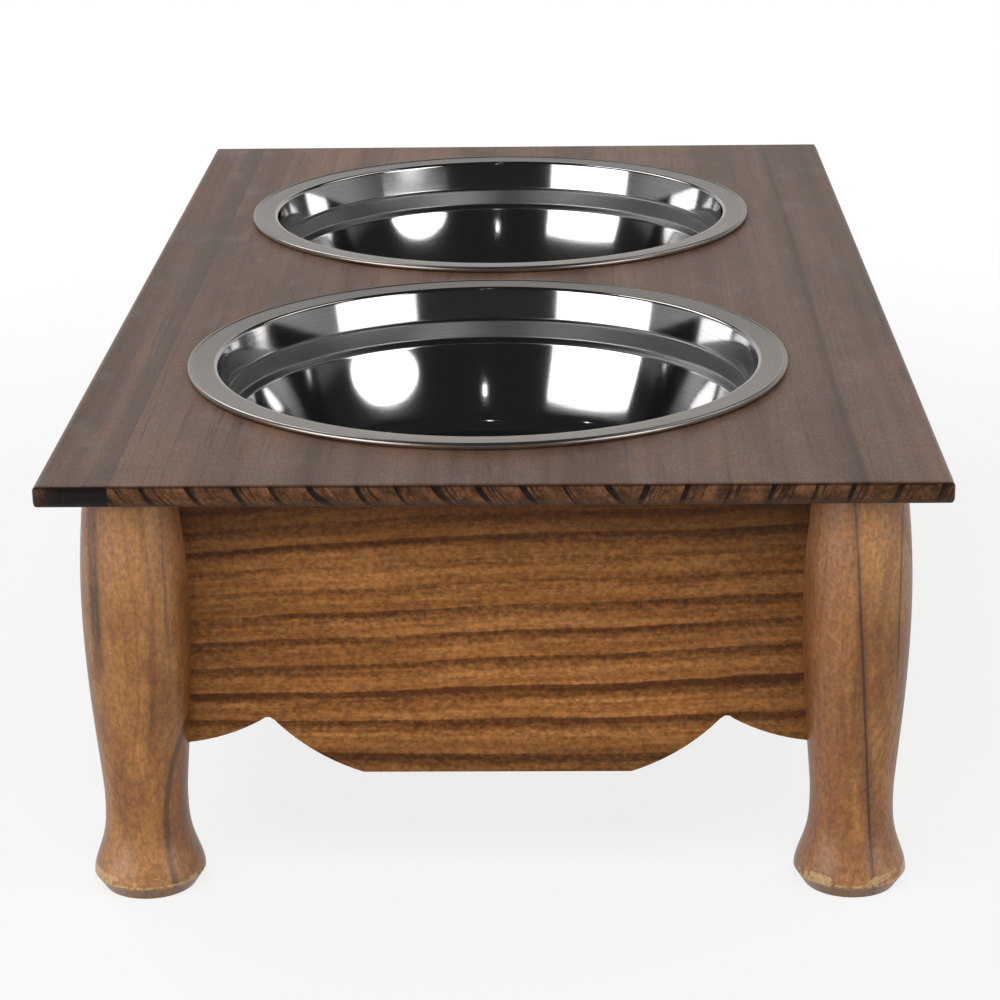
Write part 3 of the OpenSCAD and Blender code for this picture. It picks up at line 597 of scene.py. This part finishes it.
def lathe(bm, centre, profile, segments):
    """Turns an outline of (radius, height) pairs, closed on the axis, about the vertical through centre."""
    rings = []
    for radius, height in profile:
        if radius < 1e-7:
            rings.append([bm.verts.new(centre + Vector((0, 0, height)))])
            continue
        ring = []
        for i in range(segments):
            a = 2 * math.pi * i / segments
            ring.append(bm.verts.new(centre + Vector((radius * math.cos(a), radius * math.sin(a), height))))
        rings.append(ring)
    for near, far in zip(rings, rings[1:]):
        for i in range(segments):
            j = (i + 1) % segments
            if len(near) == 1 and len(far) == 1:
                continue
            if len(near) == 1:
                bm.faces.new((near[0], far[j], far[i]))
            elif len(far) == 1:
                bm.faces.new((near[i], near[j], far[0]))
            else:
                bm.faces.new((near[i], near[j], far[j], far[i]))
    for face in bm.faces:
        face.smooth = True


def arc_points(x, z, radius, start, stop, steps):
    """Points on an arc about (x, z), between two angles in degrees."""
    angles = [math.radians(start + (stop - start) * i / steps) for i in range(steps + 1)]
    return [(x + radius * math.cos(a), z + radius * math.sin(a)) for a in angles]


def rounded(points, radius, steps=4):
    """The open line with its inner corners turned into short curves."""
    out = [points[0]]
    for before, here, after in zip(points, points[1:], points[2:]):
        into, away = math.dist(before, here), math.dist(here, after)
        size = min(radius, into / 2, away / 2)
        start = [h + (b - h) * size / into for h, b in zip(here, before)]
        stop = [h + (a - h) * size / away for h, a in zip(here, after)]
        for i in range(steps + 1):
            t = i / steps
            near, middle, far = (1 - t) ** 2, 2 * t * (1 - t), t * t
            out.append(tuple(near * u + middle * h + far * v for u, h, v in zip(start, here, stop)))
    return out + [points[-1]]


def held(points, size=0.0004):
    """Adds a point near both ends of each long straight stretch, so that it is shaded flat."""
    out = [points[0]]
    for near, far in zip(points, points[1:]):
        length = math.dist(near, far)
        if length > 6 * size:
            for share in (size / length, 1 - size / length):
                out.append(tuple(a + (b - a) * share for a, b in zip(near, far)))
        out.append(far)
    return out


def dish_points():
    """The dish from the middle of its flat floor up to its upper edge: a corner, then a bulging side."""
    lean_top, lean_low, corner = math.radians(16), math.radians(24), 0.014
    steps = 24
    low_z = corner * (1 - math.sin(lean_low)) - DEPTH
    side = (-DISH_TOP - low_z) / (math.sin(lean_low) - math.sin(lean_top))
    low_r = DISH_R - side * (math.cos(lean_top) - math.cos(lean_low))
    flat_radii = (0.0, 0.03, 0.06, 0.085)
    points = [(radius, -DEPTH) for radius in flat_radii]
    for i in range(steps + 1):
        a = math.radians(90) + (lean_low - math.radians(90)) * i / steps
        r = low_r - corner * (math.cos(lean_low) - math.cos(a))
        points.append((r, low_z - corner * (math.sin(a) - math.sin(lean_low))))
    for i in range(1, steps):
        a = lean_low + (lean_top - lean_low) * i / steps
        r = DISH_R - side * (math.cos(lean_top) - math.cos(a))
        points.append((r, -DISH_TOP - side * (math.sin(a) - math.sin(lean_top))))
    return points


def bowl_outline():
    """Cross-section of the sheet, from the middle out over the bead and back underneath."""
    bead_over_flange, flange_fall = 0.0003, 0.0005
    flange_z = BEAD_GAP + 2 * BEAD_R - bead_over_flange
    mouth_z = flange_z - flange_fall
    mouth_bend, wall_lean = 0.0016, 12.5
    ledge_rise, ledge_bend = 0.0016, 0.0006
    lip_out, lip_up = 0.001, 0.0005
    bend = arc_points(MOUTH_R, mouth_z - mouth_bend, mouth_bend, 180 - wall_lean, 90, 10)
    inner = dish_points()
    ledge = [
        inner[-1],
        (DISH_R, -DISH_TOP),
        (STEP_R, ledge_rise - DISH_TOP),
        (STEP_R, -STEP_TOP),
        (STEP_R + lip_out, lip_up - STEP_TOP),
        bend[0],
    ]
    inner += rounded(ledge, ledge_bend)[1:-1]
    inner += bend
    inner += [(radius, mouth_z + rise) for radius, rise in ((0.1300, 0.00017), (0.1340, 0.00036))]
    inner = held(inner)
    bead_z, bead_x = BEAD_GAP + BEAD_R, RIM_R - BEAD_R
    start = 180 - math.degrees(math.asin((flange_z - bead_z) / BEAD_R))
    stop = 180 - math.degrees(math.asin((flange_z - SHEET - bead_z) / BEAD_R)) - 360
    bead = arc_points(bead_x, bead_z, BEAD_R, start, stop, 36)
    under = []
    for i, (r, z) in enumerate(inner):
        a, b = inner[max(i - 1, 0)], inner[min(i + 1, len(inner) - 1)]
        size = math.dist(a, b)
        under.append((max(r + SHEET * (b[1] - a[1]) / size, 0.0), z - SHEET * (b[0] - a[0]) / size))
    return inner + bead + under[::-1]


def bowl(name, node, body, material):
    """A spun bowl in place of its plain solid."""
    low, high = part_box(node)
    centre = Vector(((low.x + high.x) / 2, (low.y + high.y) / 2, BOARD_TOP))
    mesh = bpy.data.meshes.new(name)
    bm = bmesh.new()
    lathe(bm, centre, bowl_outline(), 288)
    bm.normal_update()
    bm.to_mesh(mesh)
    bm.free()
    piece = bpy.data.objects.new(name, mesh)
    bpy.context.scene.collection.objects.link(piece)
    mesh.materials.append(material)
    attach(piece, body)
    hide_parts(node)
    mesh.set_sharp_from_angle(angle=math.radians(24))


steel = bowl_steel()
bowl("bowl_front_spun", "bowl_front", "front_bowl", steel)
bowl("bowl_rear_spun", "bowl_rear", "rear_bowl", steel)


# Finish of each solid

FINISH = {
    "top_panel": top_wood(),
    "legs": leg_wood(),
    "end": apron_wood("apron_wood_end", "X", 0.0),
    "side": apron_wood("apron_wood_side", "Y", 2.7),
    "plain_x": plain_wood("inner_wood_x", "X"),
    "plain_y": plain_wood("inner_wood_y", "Y"),
    "screws": screw_steel(),
}


def finish_of(name):
    """The material of a solid, chosen by its name."""
    if name == "top_panel":
        return FINISH["top_panel"]
    if name.startswith("leg_") or name == "drawer_knob":
        return FINISH["legs"]
    if name.startswith("end_apron"):
        return FINISH["end"]
    if name.startswith("side_apron") or name == "drawer_face":
        return FINISH["side"]
    if "screw" in name:
        return FINISH["screws"]
    if name in ("drawer_back", "drawer_bottom") or name.startswith("corner_block"):
        return FINISH["plain_y"]
    return FINISH["plain_x"]


for name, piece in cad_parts.items():
    piece.data.materials.clear()
    piece.data.materials.append(finish_of(name))


# Floor and light


def floor_paint():
    """White paper: it keeps the shadow near the stand and is plain white further off."""
    g = new_graph("floor_paint")
    tone = g.noise(g.point, 3.0, 2.0)
    glow = g.add("ShaderNodeEmission", Color=(1, 1, 1, 1), Strength=1.0)
    rays = g.add("ShaderNodeLightPath")
    seen = g.highest(*(rays.outputs[f"Is {kind} Ray"] for kind in ("Camera", "Glossy", "Transmission")))
    pale = g.mix(g.scaled(tone, 0.2), (252, 252, 251), (249, 249, 248))
    paper = g.add("ShaderNodeBsdfDiffuse", Color=g.mix(seen, (150, 149, 147), pale))
    far = g.product(seen, g.step(g.hypot(g.x, g.y), 0.30, 0.95, 0.82, 1.0))
    blend = g.fill(g.add("ShaderNodeMixShader"), (far, paper.outputs[0], glow.outputs[0]))
    g.add("ShaderNodeOutputMaterial", Surface=blend)
    return g.owner


def floor(half):
    """A square of paper under the stand, half of its side given."""
    mesh = bpy.data.meshes.new("floor")
    corners = [(-half, -half, 0), (half, -half, 0), (half, half, 0), (-half, half, 0)]
    mesh.from_pydata(corners, [], [(0, 1, 2, 3)])
    mesh.materials.append(floor_paint())
    piece = bpy.data.objects.new("floor", mesh)
    bpy.context.scene.collection.objects.link(piece)


floor(14)

# The point that the lamps stand round
MIDDLE = Vector((0.0, 0.0, 0.15))


def softbox(name, azimuth, elevation, distance, width, height, radiance, shape="RECTANGLE", toe=None):
    """A lamp beside the stand. Azimuth 0 is in front, and 90 is to the right.

    It faces the middle, or stands upright and is turned by toe degrees where toe is given.
    """
    lamp = bpy.data.lights.new(name, "AREA")
    lamp.shape = shape
    lamp.size, lamp.size_y = width, height
    filled = 1.0 if shape == "RECTANGLE" else math.pi / 4
    lamp.energy = radiance * math.pi * width * height * filled
    holder = bpy.data.objects.new(name, lamp)
    bpy.context.scene.collection.objects.link(holder)
    a, e = math.radians(azimuth), math.radians(elevation)
    away = Vector((math.sin(a) * math.cos(e), -math.cos(a) * math.cos(e), math.sin(e)))
    holder.location = MIDDLE + away * distance
    if toe is not None:
        away.z = 0
        away.rotate(Matrix.Rotation(math.radians(toe), 3, "Z"))
    holder.rotation_mode = "QUATERNION"
    holder.rotation_quaternion = (-away).to_track_quat("-Z", "Y")
    return holder


# Each lamp's name, azimuth, elevation, distance, width, height and radiance
softbox("softbox_left", -55.7, 12.6, 3.17, 2.76, 1.36, 3.4, toe=25.7)
softbox("umbrella_right", 55, 18, 3.1, 2.0, 0.64, 3.9, shape="ELLIPSE", toe=-25)
softbox("reflector_right", 54, 5.6, 3.1, 2.3, 0.56, 2.4, toe=-25)
softbox("softbox_side_left", -128, 46, 1.8, 0.7, 1.2, 2.8)
softbox("softbox_side_right", 112, 44, 3.0, 1.1, 1.9, 1.3)
for number, (azimuth, elevation) in enumerate(((3, 26), (-59, 41), (0, 66))):
    softbox(f"ceiling_lamp_{number}", azimuth, elevation, 3.0, 0.06, 0.1, 8.0)

# The main lamp is kept out of the mirror images
key = softbox("softbox_above", -4, 52, 3.0, 2.4, 1.8, 2.9)
key.visible_glossy = False


def studio():
    """A dark room that is paler near its floor and high on its far wall."""
    world = bpy.data.worlds.new("studio")
    bpy.context.scene.world = world
    g = Graph(world, "Generated")
    toward_back = g.scaled(g.y, 0.5, 0.5)
    around = g.product(
        g.curve(g.z, [(0.10, 1.0), (0.16, 0.4), (0.24, 0.0)]),
        g.curve(toward_back, [(0.04, 0.04), (0.25, 0.22), (0.6, 0.36)]),
    )
    wall = g.product(
        g.curve(g.z, [(0.30, 1.0), (0.40, 0.45), (0.52, 0.0)]),
        g.curve(toward_back, [(0.72, 0.0), (0.88, 0.5), (0.97, 0.62)]),
    )
    sky = g.add("ShaderNodeBackground", Color=g.total(g.highest(around, wall), 0.022))
    g.add("ShaderNodeOutputWorld", Surface=sky.outputs[0])


studio()


# Camera

PITCH, YAW, ROLL = (math.radians(a) for a in (18.734, 1.342, -0.720))
CAMERA_PLACE = (0.02903, -1.43717, 0.55994)
LENS_MM = 103.44


def place_camera():
    """Looks along the stand from in front and above, a little turned and rolled."""
    ahead = Vector((-math.sin(YAW) * math.cos(PITCH), math.cos(YAW) * math.cos(PITCH), -math.sin(PITCH)))
    level_right = Vector((math.cos(YAW), math.sin(YAW), 0))
    level_up = level_right.cross(ahead)
    right = math.cos(ROLL) * level_right + math.sin(ROLL) * level_up
    up = -math.sin(ROLL) * level_right + math.cos(ROLL) * level_up
    lens = bpy.data.cameras.new("camera")
    lens.sensor_width = 36
    lens.lens = LENS_MM
    lens.clip_start = 0.05
    lens.clip_end = 50
    camera = bpy.data.objects.new("camera", lens)
    bpy.context.scene.collection.objects.link(camera)
    turned = Matrix((right, up, -ahead)).transposed()
    camera.matrix_world = Matrix.Translation(CAMERA_PLACE) @ turned.to_4x4()
    bpy.context.scene.camera = camera
    bpy.context.scene.view_settings.view_transform = "Standard"


place_camera()
